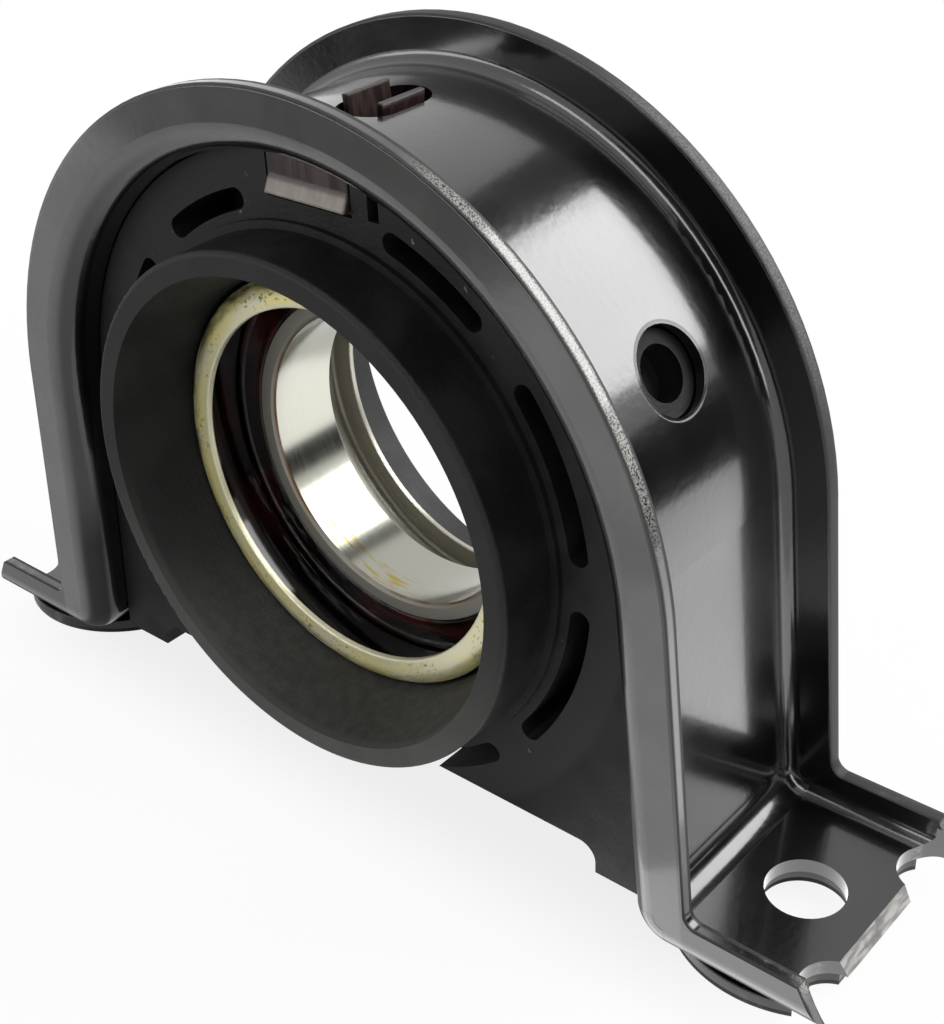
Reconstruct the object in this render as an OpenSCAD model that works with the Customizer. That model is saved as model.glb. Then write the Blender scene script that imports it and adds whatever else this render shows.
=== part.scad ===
// Driveshaft centre bearing: ball bearing in a rubber cushion under a pressed steel arch bracket.
// Millimetres. Origin at the bearing centre, +Y along the shaft towards the rear, +Z up,
// X along the line of the two foot bolts.

/* [Bearing] */
// Bore that takes the shaft
bore_d = 65; // [60:0.5:68]
// Outside diameter of the ball bearing
bearing_od = 100; // [98:0.5:104]
// Width of both races
bearing_w = 18; // [17:0.5:20]
// Ball diameter
ball_d = 11.1; // [10:0.1:11.4]
// Number of balls in the cage
ball_count = 13; // [11:1:13]
// Clearance between a ball and its race grooves
ball_gap = 0.3; // [0.25:0.05:0.4]
// Least wall of each race behind its ball groove
race_wall = 2.2; // [1.8:0.1:2.6]
// Wall of the inner race beside each seal
race_lip = 3.5; // [3:0.1:4]
// Depth of the seal recess in each bearing face
seal_depth = 2.3; // [2:0.1:2.6]
// Radial clearance of each seal lip over the inner race
seal_gap = 0.3; // [0.25:0.05:0.5]

/* [Housing] */
// Wall of the steel sleeve around the outer race
sleeve_t = 1.5; // [1:0.1:2]
// Sheet thickness of the two plated shields
shield_t = 1.2; // [0.8:0.1:1.5]
// Distance that each shield stands out from the bearing face
shield_out = 13.2; // [11:0.2:15]
// Width of the rolled-in rim on the face of each shield
shield_rim = 6.7; // [5.5:0.1:7]
// Outside bend radius of the shield rim
shield_bend = 3.4; // [2.4:0.1:4]
// Radial width of the shield flange against the outer race
shield_seat = 6; // [5.5:0.1:6.5]
// Length of the sleeve beyond each shield flange
sleeve_over = 1.8; // [1:0.1:3]

/* [Cushion] */
// Rubber outside the bearing, up to the wall of the collar
collar_wall = 5; // [4:0.1:7]
// Width of the flat front lip of the collar
lip_w = 4.8; // [3.5:0.1:6]
// Distance that the collar lip stands out from the cushion face
collar_len = 14.6; // [12:0.2:18]
// Half width of the cushion body along the shaft
cushion_half = 23.3; // [22:0.1:25]
// Height of the ring step at the foot of the collar
step_h = 1.2; // [0.6:0.1:2]
// Radial width of that ring step
step_w = 1.6; // [1:0.1:2.4]
// Rounding of the outer edge of the collar lip
lip_edge_r = 1.2; // [0.6:0.1:1.8]
// Radial width of the arc windows
window_w = 4.4; // [3.5:0.1:5.5]
// Rubber left between the collar wall and the windows
window_in_wall = 3.6; // [3:0.1:5]
// Rubber left outside the windows
window_out_wall = 9.1; // [8:0.1:11]
// Depth of each window from the cushion face
window_depth = 17; // [8:0.5:18]
// Gap between the cushion and the web of the bracket
cushion_gap = 0.25; // [0.2:0.05:0.4]
// Height of the cushion feet over the underside of the bracket feet
cushion_lift = 1; // [0.6:0.1:2]
// Rise of the hollow under the cushion, between its two feet
hollow_rise = 6.5; // [5:0.1:8]
// Width that the hollow reaches beyond the collar on each side
hollow_reach = 9; // [7:0.2:11]
// Corner radius of the hollow
hollow_r = 4; // [3:0.1:4.5]

/* [Bracket] */
// Sheet thickness of the bracket
sheet_t = 3.2; // [2.5:0.1:4]
// Width of the bracket along the shaft
depth = 57; // [54:0.5:62]
// Distance that the bearing centre sits behind the middle of the bracket
set_back = 4; // [2:0.1:5]
// Height of the arch flanges above the web
flange_h = 9.9; // [7:0.1:12]
// Inside bend radius between web and flange
bend_r = 3; // [2:0.1:4]
// Lean of each leg away from upright
leg_flare = 5; // [3:0.1:7]
// Drop of the arch centre below the shaft axis
arch_drop = 1.5; // [0.5:0.1:3]
// Height of the shaft axis over the underside of the feet
axis_height = 66; // [63:0.5:72]

/* [Feet] */
// Distance between the two foot bolts
bolt_spacing = 200; // [196:0.5:210]
// Diameter of the foot bolt holes
bolt_hole_d = 16; // [13:0.5:18]
// Extra inside radius of the foot bend over the flange bend
foot_bend_more = 2.5; // [0.8:0.1:3]
// Height of the foot flanges above the foot
foot_flange_h = 6.5; // [5:0.1:8]
// Foot left beyond the bolt centre, at the top of the sheet
foot_tail = 18; // [16:0.2:22]
// Lean of the cut across the end of each foot, over the height of its flanges
tip_slant = 5.4; // [4:0.1:7]
// Radius of the two notches in the end of each foot
relief_r = 6.9; // [5.5:0.1:7.5]
// Distance that the tongue between the notches falls short of the flanges
tongue_back = 3.6; // [2:0.1:5]
// Thickness of the half-round plate under each foot
plate_t = 3.2; // [2:0.1:5]
// Margin between the foot plate and the edge of the foot
plate_margin = 2; // [1:0.1:4]

/* [Clip and holes] */
// Diameter of the shoulder holes in the web
shoulder_d = 17; // [14:0.5:19]
// Angle of the shoulder holes above the level of the arch centre
shoulder_angle = 31; // [28:0.5:35]
// Width of the clip slot across the arch
slot_w = 12.8; // [11:0.2:14]
// Length of the clip slot along the shaft
slot_len = 20.5; // [18:0.5:24]
// Width of the retaining clip
clip_w = 20; // [18:0.2:22]
// Sheet thickness of the retaining clip
clip_t = 1.2; // [0.8:0.1:1.4]
// Drop of each clip tab below the top of the clip
tab_len = 9.6; // [8:0.1:11]
// Length of the bent lip at the end of each tab
tab_lip = 3.6; // [3:0.1:4.5]
// Length of the two clip prongs along the shaft
prong_len = 11.6; // [10:0.1:12]
// Height of the taller prong above the clip
prong_high = 5.3; // [4.5:0.1:7]
// Height of the shorter prong above the clip
prong_low = 4.9; // [4:0.1:6]
// Width of the slit in the front of the cushion, beside the clip
slit_w = 2.6; // [1.5:0.1:3]
// Depth of that slit
slit_depth = 8; // [5:0.1:10]

/* [Hidden] */
$fn = 96;
// Distance that a cut runs past the face it opens
past = 2;
// Bearing, with balls no larger than the races leave room for
bore_r = bore_d / 2;
od_r = bearing_od / 2;
half_w = bearing_w / 2;
pitch_r = (bore_r + od_r) / 2;
ball_r = min(ball_d / 2, (od_r - bore_r) / 2 - race_wall - ball_gap);
groove_r = ball_r + ball_gap;
land_share = 0.65;
land_in = pitch_r - ball_r * land_share;
land_out = pitch_r + ball_r * land_share;
bore_chamfer = 0.8;
seal_seat_r = bore_r + race_lip;
seal_in = half_w - seal_depth;
seal_bite = 0.9;
seal_outer_r = land_out + seal_bite;
seal_t = 1;
seal_lip_w = 1.4;
seal_proud = 0.1;
seal_rib_w = 1.6;
seal_rib_h = 0.4;
seal_rib_in = land_out - 2.4;
cage_t = 0.9;
cage_clear = 0.25;
cage_half_w = 1.8;
cage_in = pitch_r - cage_half_w;
cage_out = pitch_r + cage_half_w;
rivet_r = 0.9;
rivet_gap = 0.05;
rivet_head = 0.6;
// Sleeve and shields
sleeve_r = od_r + sleeve_t;
sleeve_half = half_w + shield_t + sleeve_over;
neck_in = od_r - shield_seat;
neck_out = neck_in + shield_t;
shield_y = half_w + shield_out;
rim_r = neck_out - shield_rim;
shield_gap = 0.3;
throat_r = neck_out + shield_gap;
// Cushion
collar_r = od_r + collar_wall;
lip_r = collar_r - lip_w;
lip_y = cushion_half + collar_len;
step_r = collar_r + step_w;
collar_root = 3;
funnel_lap = 2;
window_in = collar_r + window_in_wall;
window_out = window_in + window_w;
window_mid = (window_in + window_out) / 2;
arch_r = window_out + window_out_wall + cushion_gap;
cushion_r = arch_r - cushion_gap;
window_arcs = [[49.5, 73], [5.5, 38.8], [-39.4, -3.6], [-75, -49.2]];
// Bracket
mid_y = -set_back;
arch_z = -arch_drop;
web_r = arch_r + sheet_t;
edge_h = sheet_t + flange_h;
bend_w = sheet_t + bend_r;
foot_bend_r = bend_r + foot_bend_more;
foot_z = -axis_height;
foot_top = foot_z + sheet_t;
bend_out = foot_bend_r + sheet_t;
leg_x = web_r + foot_bend_r;
leg_len = (arch_z + leg_x * sin(leg_flare) - foot_bend_r - foot_top) / cos(leg_flare);
bend_x = leg_x * cos(leg_flare) + leg_len * sin(leg_flare);
bend_z = foot_top + foot_bend_r;
bolt_x = bolt_spacing / 2;
foot_end = bolt_x + foot_tail;
tip_slope = tip_slant / (sheet_t + foot_flange_h);
flange_top = foot_top + foot_flange_h;
corner_r = 3;
corner_lap = 0.5;
corner_x = (arch_r + edge_h - (flange_top - arch_z) * sin(leg_flare)) / cos(leg_flare);
relief_bite = 0.6;
relief_x = foot_end - 1;
relief_y = depth / 2 - sheet_t - relief_r + relief_bite;
relief_gap = 0.5;
tongue_end = foot_end - tongue_back;
plate_hole_more = 1.5;
hole_shift = 2;
hole_y = mid_y + hole_shift;
// Round pieces differ by a skin from the straight ones that they lap, so that both join as one solid
lap_skin = 0.02;
lap_run = 0.3;
// Cushion feet
cushion_low = foot_z + cushion_lift;
cushion_arch = cushion_low + hollow_rise;
cushion_span = collar_r + hollow_reach;
button_gap = 0.3;
button_sink = 2.4;
button_r = shoulder_d / 2 - button_gap;
button_top = web_r - button_sink;
dimple_wall = 2.8;
dimple_r = button_r - dimple_wall;
dimple_depth = 6;
// Clip
clip_gap = 0.3;
clip_r = arch_r - clip_gap;
clip_in = clip_r - clip_t;
clip_stand = 0.1;
clip_half = cushion_half + clip_stand;
tab_low = arch_z + clip_r - tab_len;
tab_mid = tab_low + tab_lip;
tab_tilt = 24;
tab_lap = 0.3;
tab_gap = 0.2;
tab_room = 0.8;
groove_room = 0.6;
groove_half = clip_w / 2 + groove_room;
prong_x = [-3.2, 4.2];
prong_lean = [-6, 8];
prong_tall = [prong_high, prong_low];
prong_lap = 0.2;
prong_gap = 0.3;
prong_slit = 3;
slit_x = groove_half + 4;
slit_z = window_out - 2.4;

BALL_NODES = [for (i = [1:ball_count]) str("ball_", i)];

// Turns a profile of radius and Y about the shaft axis
module turn() {
    rotate([-90, 0, 0])
        rotate_extrude()
            children();
}

// Stretches a flat X-Z outline from y0 to y1
module slab(y0, y1) {
    translate([0, y1, 0])
        rotate([90, 0, 0])
            linear_extrude(y1 - y0)
                children();
}

module both_sides() {
    children();
    mirror([1, 0, 0])
        children();
}

module both_ends() {
    children();
    mirror([0, 1, 0])
        children();
}

// Flat bar along y with its near edge on x = 0 and its two near corners rounded
module rounded_bar(h, w, r) {
    translate([r, -w / 2])
        square([h - r, w]);
    translate([0, r - w / 2])
        square([h, w - 2 * r]);
    intersection() {
        for (s = [-1, 1])
            translate([r, s * (w / 2 - r)])
                circle(r);
        translate([0, -w / 2])
            square([h, w]);
    }
}

// Section of the pressed channel: web on x = 0, flanges towards +x
module channel(h, skin = 0) {
    difference() {
        translate([-skin, 0])
            rounded_bar(h + 2 * skin, depth + 2 * skin, bend_w + skin);
        translate([sheet_t + skin, 0])
            rounded_bar(h, depth - 2 * sheet_t - 2 * skin, bend_r - skin);
    }
}

module arch_channel() {
    translate([0, 0, arch_z])
        rotate([0, -leg_flare, 0])
            rotate([90, 0, 0])
                rotate_extrude(angle = 180 - 2 * leg_flare)
                    translate([arch_r, 0])
                        channel(edge_h, lap_skin);
}

module leg_channel() {
    translate([0, 0, arch_z])
        rotate([0, -leg_flare, 0])
            translate([arch_r, 0, -leg_len - lap_run])
                linear_extrude(leg_len + 2 * lap_run)
                    channel(edge_h);
}

module bend_channel() {
    translate([bend_x, 0, bend_z])
        rotate([0, -180 - leg_flare, 0])
            rotate([90, 0, 0])
                rotate_extrude(angle = 90 - leg_flare)
                    translate([bend_out, 0])
                        mirror([1, 0])
                            channel(bend_w + lap_run / 2, lap_skin);
}

module foot_channel() {
    length = foot_end + tip_slant - bend_x;
    translate([bend_x + length, 0, foot_z])
        rotate([0, -90, 0])
            linear_extrude(length + lap_run)
                channel(sheet_t + foot_flange_h);
}

// Metal in the corner where the leg flange meets the foot flange
module flange_corner() {
    half = (90 + leg_flare) / 2;
    run = corner_r / tan(half);
    far = corner_r / sin(half);
    up_x = corner_x - run * sin(leg_flare);
    up_z = flange_top + run * cos(leg_flare);
    difference() {
        polygon([[corner_x - corner_lap, flange_top - corner_lap],
            [corner_x + run, flange_top - corner_lap], [corner_x + run, flange_top],
            [up_x, up_z], [up_x - corner_lap, up_z]]);
        translate([corner_x + far * cos(half), flange_top + far * sin(half)])
            circle(corner_r + lap_skin);
    }
}

// Flat pieces inside both flanges: the heart of the foot bend and the corner
module corner_plates() {
    for (y = [-depth / 2, depth / 2 - sheet_t])
        slab(y + lap_skin, y + sheet_t - lap_skin) {
            translate([bend_x, bend_z])
                circle(foot_bend_more);
            flange_corner();
        }
}

// Region beyond a leaning cut across the foot, which meets the top of the sheet at x = end
module end_cut(end, high) {
    low = foot_z - past;
    far = foot_end + depth;
    polygon([[end - (high - foot_top) * tip_slope, high], [far, high], [far, low],
        [end + (foot_top - low) * tip_slope, low]]);
}

module foot_trim() {
    low = foot_z - past;
    slab(-depth, depth)
        end_cut(foot_end, flange_top + past);
    slab(-relief_y, relief_y)
        end_cut(tongue_end, foot_top + past);
    for (s = [-1, 1])
        translate([relief_x, s * relief_y, low])
            cylinder(r = relief_r, h = bend_w + 2 * past);
    translate([bolt_x, 0, low])
        cylinder(d = bolt_hole_d, h = sheet_t + 2 * past);
}

module bracket_sheet() {
    arch_channel();
    for (turned = [0, 180])
        rotate([0, 0, turned]) {
            leg_channel();
            bend_channel();
            foot_channel();
            corner_plates();
        }
}

module bracket() {
    color([0.10, 0.10, 0.11])
        translate([0, mid_y, 0])
            difference() {
                bracket_sheet();
                both_sides()
                    foot_trim();
                translate([0, hole_y - mid_y, 0]) {
                    both_sides()
                        shoulder_bore(shoulder_d / 2, arch_r - past, web_r + past);
                    translate([0, 0, arch_z + arch_r - past])
                        linear_extrude(sheet_t + 2 * past)
                            clip_slot();
                }
            }
}

// Round bar along the axis of one shoulder hole, between two radii
module shoulder_bore(r, from, to) {
    translate([0, 0, arch_z])
        rotate([0, 90 - shoulder_angle, 0])
            translate([0, 0, from])
                cylinder(r = r, h = to - from);
}

module clip_slot() {
    run = slot_len - slot_w;
    translate([-slot_w / 2, -run / 2])
        square([slot_w, run]);
    for (s = [-1, 1])
        translate([0, s * run / 2])
            circle(d = slot_w);
}

module foot_plate() {
    plate_r = depth / 2 - plate_margin;
    color([0.11, 0.11, 0.12])
        translate([bolt_x, mid_y, foot_z - plate_t])
            linear_extrude(plate_t)
                difference() {
                    circle(plate_r);
                    translate([tongue_end - bolt_x, -depth])
                        square([depth, 2 * depth]);
                    for (s = [-1, 1])
                        translate([relief_x - bolt_x, s * relief_y])
                            circle(relief_r + relief_gap);
                    circle(d = bolt_hole_d + plate_hole_more);
                }
}

module foot_plate_right() {
    foot_plate();
}

module foot_plate_left() {
    mirror([1, 0, 0])
        foot_plate();
}

// Outline of the cushion across the shaft
module cushion_outline() {
    side = cushion_r / cos(leg_flare);
    lean = tan(leg_flare);
    top = arch_z + cushion_r * sin(leg_flare);
    difference() {
        union() {
            translate([0, arch_z])
                circle(cushion_r);
            polygon([[cushion_r * cos(leg_flare), top], [side + lean * (arch_z - cushion_low),
                cushion_low], [-side - lean * (arch_z - cushion_low), cushion_low],
                [-cushion_r * cos(leg_flare), top]]);
        }
        translate([-2 * cushion_r, cushion_low - cushion_r])
            square([4 * cushion_r, cushion_r]);
        translate([-cushion_span, cushion_low - past])
            square([2 * cushion_span, hollow_rise - hollow_r + past]);
        translate([hollow_r - cushion_span, cushion_low])
            square([2 * (cushion_span - hollow_r), hollow_rise]);
        for (s = [-1, 1])
            translate([s * (cushion_span - hollow_r), cushion_arch - hollow_r])
                circle(hollow_r);
    }
}

module arc_window(from, to) {
    intersection() {
        difference() {
            circle(window_out);
            circle(window_in);
        }
        polygon([[0, 0], [2 * window_out * cos(from), 2 * window_out * sin(from)],
            [2 * window_out * cos(to), 2 * window_out * sin(to)]]);
    }
    for (a = [from, to])
        rotate(a)
            translate([window_mid, 0])
                circle(window_w / 2 - lap_skin);
}

module window_set() {
    inset = asin(window_w / 2 / window_mid);
    for (w = window_arcs) {
        arc_window(w[0] + inset, w[1] - inset);
        mirror([1, 0])
            arc_window(w[0] + inset, w[1] - inset);
    }
}

// Profile of one collar with its step, radius against distance from the centre
module collar_profile() {
    root = cushion_half - collar_root;
    edge = lip_y - lip_edge_r;
    translate([od_r, root])
        square([step_r - od_r, collar_root + step_h]);
    translate([neck_out, root])
        square([collar_r - neck_out, edge - root]);
    translate([neck_out, edge - lip_edge_r])
        square([collar_r - lip_edge_r - neck_out, 2 * lip_edge_r]);
    translate([collar_r - lip_edge_r, edge])
        circle(lip_edge_r);
}

// Room inside the cushion for the sleeve, the shields and the open funnels
module cushion_room() {
    start = shield_y - funnel_lap;
    translate([0, -sleeve_half])
        square([sleeve_r, 2 * sleeve_half]);
    translate([0, -shield_y])
        square([throat_r, 2 * shield_y]);
    for (s = [0, 1])
        mirror([0, s])
            polygon([[0, start], [throat_r, start], [lip_r, lip_y], [lip_r, lip_y + past],
                [0, lip_y + past]]);
}

module rubber_cushion() {
    color([0.13, 0.13, 0.13])
        difference() {
            union() {
                slab(-cushion_half, cushion_half)
                    cushion_outline();
                both_ends()
                    turn()
                        collar_profile();
                translate([0, hole_y, 0])
                    both_sides()
                        shoulder_bore(button_r, window_out + past, button_top);
            }
            turn()
                cushion_room();
            both_ends()
                slab(cushion_half - window_depth, cushion_half + past)
                    window_set();
            translate([0, hole_y, 0])
                both_sides()
                    shoulder_bore(dimple_r, button_top - dimple_depth, web_r + past);
            clip_groove();
            slab(-cushion_half - past, slit_depth - cushion_half)
                translate([slit_x, slit_z])
                    square([slit_w, arch_r]);
        }
}

// Groove for the clip strip and the notches for its two end tabs
module clip_groove() {
    slab(-cushion_half - past, cushion_half + past)
        intersection() {
            translate([0, arch_z])
                difference() {
                    circle(arch_r + past);
                    circle(clip_in - clip_gap);
                }
            translate([-groove_half, 0])
                square([2 * groove_half, 2 * arch_r]);
        }
    both_ends()
        slab(clip_half - clip_t - tab_gap, cushion_half + past)
            translate([-groove_half, tab_low - tab_room])
                square([2 * groove_half, arch_r]);
}

// Strip over the cushion, tabs down both faces, prongs up through the slot
module retaining_clip() {
    color([0.30, 0.15, 0.12]) {
        difference() {
            union() {
                clip_strip();
                both_ends()
                    clip_tab();
            }
            for (x = prong_x)
                translate([x - clip_stand, hole_y - prong_len / 2 - prong_gap, arch_z + clip_in - past])
                    cube([prong_slit, prong_len + 2 * prong_gap, clip_t + 2 * past]);
        }
        for (i = [0, 1])
            prong(prong_x[i], prong_lean[i], clip_t + prong_tall[i]);
    }
}

module clip_strip() {
    intersection() {
        slab(-clip_half, clip_half)
            translate([0, arch_z])
                difference() {
                    circle(clip_r);
                    circle(clip_in);
                }
        translate([-clip_w / 2, -clip_half - past, 0])
            cube([clip_w, 2 * (clip_half + past), 2 * arch_r]);
    }
}

module clip_tab() {
    slab(clip_half - clip_t, clip_half)
        intersection() {
            translate([0, arch_z])
                circle(clip_r);
            translate([-clip_w / 2, tab_mid])
                square([clip_w, arch_r]);
        }
    translate([-clip_w / 2, clip_half, tab_mid])
        rotate([tab_tilt, 0, 0])
            translate([0, -clip_t, -tab_lip])
                cube([clip_w, clip_t, tab_lip + tab_lap]);
}

module prong(x, lean, tall) {
    translate([x, hole_y - prong_len / 2, arch_z + clip_in + prong_lap])
        rotate([0, lean, 0])
            translate([-clip_t, 0, 0])
                cube([clip_t, prong_len, tall]);
}

module bearing_sleeve() {
    color([0.62, 0.60, 0.55])
        turn()
            translate([od_r, -sleeve_half])
                square([sleeve_t, 2 * sleeve_half]);
}

// Pressed cup: flange against the outer race, neck, rolled-in rim
module shield() {
    b = shield_bend;
    color([0.78, 0.72, 0.42])
        turn() {
            translate([neck_in, half_w])
                square([od_r - neck_in, shield_t]);
            translate([neck_in, half_w])
                square([shield_t, shield_y - b - half_w]);
            translate([rim_r, shield_y - shield_t])
                square([neck_out - b - rim_r, shield_t]);
            intersection() {
                translate([neck_out - b, shield_y - b])
                    difference() {
                        circle(b);
                        circle(b - shield_t);
                    }
                translate([neck_out - b, shield_y - b])
                    square([b, b]);
            }
        }
}

module rear_shield() {
    shield();
}

module front_shield() {
    mirror([0, 1, 0])
        shield();
}

module outer_race() {
    color([0.70, 0.71, 0.73])
        turn()
            difference() {
                translate([land_out, -half_w])
                    square([od_r - land_out, bearing_w]);
                translate([pitch_r, 0])
                    circle(groove_r);
                for (s = [0, 1])
                    mirror([0, s])
                        translate([0, seal_in])
                            square([seal_outer_r, half_w]);
            }
}

module inner_race() {
    edge = half_w - bore_chamfer;
    end = half_w + past;
    color([0.80, 0.80, 0.80])
        turn()
            difference() {
                translate([bore_r, -half_w])
                    square([land_in - bore_r, bearing_w]);
                translate([pitch_r, 0])
                    circle(groove_r);
                for (s = [0, 1])
                    mirror([0, s]) {
                        translate([seal_seat_r, seal_in - seal_gap])
                            square([od_r, half_w]);
                        polygon([[bore_r - past, edge], [bore_r, edge], [bore_r + bore_chamfer, half_w],
                            [bore_r + bore_chamfer, end], [bore_r - past, end]]);
                    }
            }
}

// Disc seal with a thick lip ring and a raised rib
module seal() {
    lip = seal_seat_r + seal_gap;
    back = seal_in + seal_gap;
    color([0.07, 0.05, 0.05])
        turn() {
            translate([lip, back])
                square([seal_lip_w, half_w + seal_proud - back]);
            translate([lip, back])
                square([seal_outer_r - lip, seal_t]);
            translate([seal_rib_in, back])
                square([seal_rib_w, seal_t + seal_rib_h]);
        }
}

module rear_seal() {
    seal();
}

module front_seal() {
    mirror([0, 1, 0])
        seal();
}

module ring_of(count, shift = 0) {
    for (i = [1:count])
        rotate([0, (i - 1 + shift) * 360 / count, 0])
            translate([pitch_r, 0, 0])
                children();
}

// Sphere with its seam turned away from the middle plane of the cage
module turned_sphere(r) {
    rotate([35, 0, 25])
        sphere(r);
}

// Ribbon half cage: flat ring with a spherical pocket over every ball
module cage_half() {
    pocket = ball_r + cage_clear;
    color([0.66, 0.60, 0.46])
        difference() {
            intersection() {
                turn()
                    translate([cage_in, 0])
                        square([cage_out - cage_in, pocket + cage_t]);
                union() {
                    rotate([-90, 0, 0])
                        translate([0, 0, -past])
                            cylinder(r = od_r, h = cage_t + past);
                    ring_of(ball_count)
                        turned_sphere(pocket + cage_t);
                }
            }
            ring_of(ball_count)
                turned_sphere(pocket);
            ring_of(ball_count, 0.5)
                rotate([-90, 0, 0])
                    translate([0, 0, -past])
                        cylinder(r = rivet_r + rivet_gap, h = cage_t + 2 * past);
        }
}

module cage_rear() {
    cage_half();
}

module cage_front() {
    mirror([0, 1, 0])
        cage_half();
}

module cage_rivets() {
    color([0.60, 0.56, 0.48])
        ring_of(ball_count, 0.5)
            rotate([-90, 0, 0]) {
                translate([0, 0, -cage_t])
                    cylinder(r = rivet_r, h = 2 * cage_t);
                for (low = [cage_t, -cage_t - rivet_head])
                    translate([0, 0, low])
                        cylinder(r = rivet_r + rivet_head, h = rivet_head);
            }
}

module ball(i) {
    color([0.85, 0.86, 0.88])
        rotate([0, (i - 1) * 360 / ball_count, 0])
            translate([pitch_r, 0, 0])
                sphere(ball_r);
}

bracket();
foot_plate_left();
foot_plate_right();
rubber_cushion();
retaining_clip();
bearing_sleeve();
front_shield();
rear_shield();
outer_race();
inner_race();
front_seal();
rear_seal();
cage_front();
cage_rear();
cage_rivets();
for (i = [1:ball_count])
    ball(i);
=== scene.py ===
"""Finishes, light and camera for the driveshaft centre bearing, on the frame packed from its CAD model."""
import math
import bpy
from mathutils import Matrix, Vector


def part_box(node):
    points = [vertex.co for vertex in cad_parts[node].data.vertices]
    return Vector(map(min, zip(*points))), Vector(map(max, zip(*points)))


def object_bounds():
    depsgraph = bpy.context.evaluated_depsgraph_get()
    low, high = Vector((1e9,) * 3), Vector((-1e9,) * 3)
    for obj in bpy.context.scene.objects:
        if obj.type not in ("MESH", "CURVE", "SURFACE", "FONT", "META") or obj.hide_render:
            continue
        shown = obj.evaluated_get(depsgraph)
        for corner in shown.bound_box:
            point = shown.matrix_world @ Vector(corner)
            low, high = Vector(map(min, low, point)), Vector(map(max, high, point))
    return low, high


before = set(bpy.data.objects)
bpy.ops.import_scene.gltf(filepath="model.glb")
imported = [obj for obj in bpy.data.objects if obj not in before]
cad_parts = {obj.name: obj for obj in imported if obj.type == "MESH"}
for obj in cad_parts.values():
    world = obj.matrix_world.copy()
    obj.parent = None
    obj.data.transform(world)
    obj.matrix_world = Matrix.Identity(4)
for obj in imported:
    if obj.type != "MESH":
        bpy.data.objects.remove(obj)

from types import SimpleNamespace

import bmesh
import bpy
from bpy.props import FloatProperty, FloatVectorProperty, PointerProperty
from mathutils import Matrix, Vector

bl_info = {
    "name": "Driveshaft Centre Bearing",
    "version": (1, 0, 0),
    "blender": (4, 5, 0),
    "location": "3D View > Sidebar > Bearing",
    "description": "Finishes and studio stage for a driveshaft centre bearing",
    "category": "Object",
}

MM = 0.001
CAD_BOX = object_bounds()
BALLS = [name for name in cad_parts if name.startswith("ball_")]

# Sizes and places below are in millimetres.
# A pair is a span: a mask is 0 at its first end and 1 at its second.

# Bracket: the sheet, the arch with its leaning legs, and the shoulder holes
BRACKET_LOW, BRACKET_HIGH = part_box("bracket")
BRACKET_FRONT = BRACKET_LOW.y / MM
BRACKET_MID = (BRACKET_LOW.y + BRACKET_HIGH.y) / 2 / MM
BRACKET_HALF = (BRACKET_HIGH.y - BRACKET_LOW.y) / 2 / MM
SHEET = 3.2
ARCH_Z = -1.5
RIM = BRACKET_HIGH.z / MM - ARCH_Z
LEG_LEAN = math.radians(5)
FOOT_TIP = BRACKET_HIGH.x / MM
FOOT_TOP = BRACKET_LOW.z / MM + SHEET
HOLE_ANGLE = math.radians(31)
HOLE_Y = BRACKET_MID + 2
HOLE_R = 8.5
HOLE_LIP = (HOLE_R + 1.0, HOLE_R)

# Where the bracket is handled, dull, painted lighter for the front light on it, or sheared
REAR_HALF = (-5, 5)
FRONT_HALF = (5, -5)
FRONT_FACE = (BRACKET_FRONT + 1.2, BRACKET_FRONT + 0.2)
FRONT_BEND = (BRACKET_FRONT + 8, BRACKET_FRONT + 7)
BEHIND_FRONT = (BRACKET_FRONT + 2, BRACKET_FRONT + 4)
ABOVE_FOOT = (FOOT_TOP + 8, FOOT_TOP + 10)
LEGS_DOWN = (-20, -40)
SHOULDER_OUT = (28, 44)
SHOULDER_UP = (14, 40)
FOOT_OUT = (FOOT_TIP - 27, FOOT_TIP - 25)
FOOT_END = (FOOT_TIP - 9, FOOT_TIP - 7)

# Cushion: its windows, the lip of its collar, the funnel inside with painted light on its bottom, and the
# painted shade under the bracket arch
COLLAR_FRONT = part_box("rubber_cushion")[0].y / MM
COLLAR_LIP = (COLLAR_FRONT + 2.5, COLLAR_FRONT + 0.8)
LIP_BOTTOM = (0, -45)
WINDOW_START = (56.5, 58)
WINDOW_END = (66, 64)
UNDER_ARCH = (70, 72)
FUNNEL_WALL = (-8, -20)
FUNNEL_BOTTOM = (-22, -42)
FUNNEL_FRONT = (0, -8)

# Clip: its bent lips
CLIP_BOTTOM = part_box("retaining_clip")[0].z / MM
CLIP_LIP = (CLIP_BOTTOM + 3.8, CLIP_BOTTOM + 2.6)

# Shields: the rim from its neck inwards, its inner edge with a painted highlight, its outer edge with painted
# shade and grime, and the greased inside of the front one
SHIELD_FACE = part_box("rear_shield")[1].y / MM
SHIELD_NECK = 45.2
SHIELD_INNER_EDGE = (SHIELD_NECK - 5.2, SHIELD_NECK - 6.4)
SHIELD_OUTER_EDGE = (SHIELD_NECK - 4.8, SHIELD_NECK - 1.4)
SHIELD_INSIDE = (SHIELD_FACE - 1.2, SHIELD_FACE - 1.5)
FRONT_SHIELD = (2.0, -2.0)
REAR_SHIELD = (0.0, SHIELD_FACE)
# Painted shade on the shields is stronger towards this side
DARKER_SIDE = (24, -12)

# Inner race: the smears of grease low on the left of the bore, and the stain in its front corner
RACE_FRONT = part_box("inner_race")[0].y / MM
SMEAR_DOWN = (-17, -24)
SMEAR_RIGHT = (4, -4)
SMEAR_LEFT = (-27, -22)
SMEAR_BACK = (RACE_FRONT + 8, RACE_FRONT + 5)
SMEAR_FRONT = (RACE_FRONT + 1.0, RACE_FRONT + 1.6)
CORNER_BACK = (RACE_FRONT + 1.1, RACE_FRONT + 0.8)
CORNER_FRONT = (RACE_FRONT + 0.3, RACE_FRONT + 0.6)

# Floor: the strip under the part
UNDER_X = (120, 80)
UNDER_Y = (50, 20)


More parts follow.
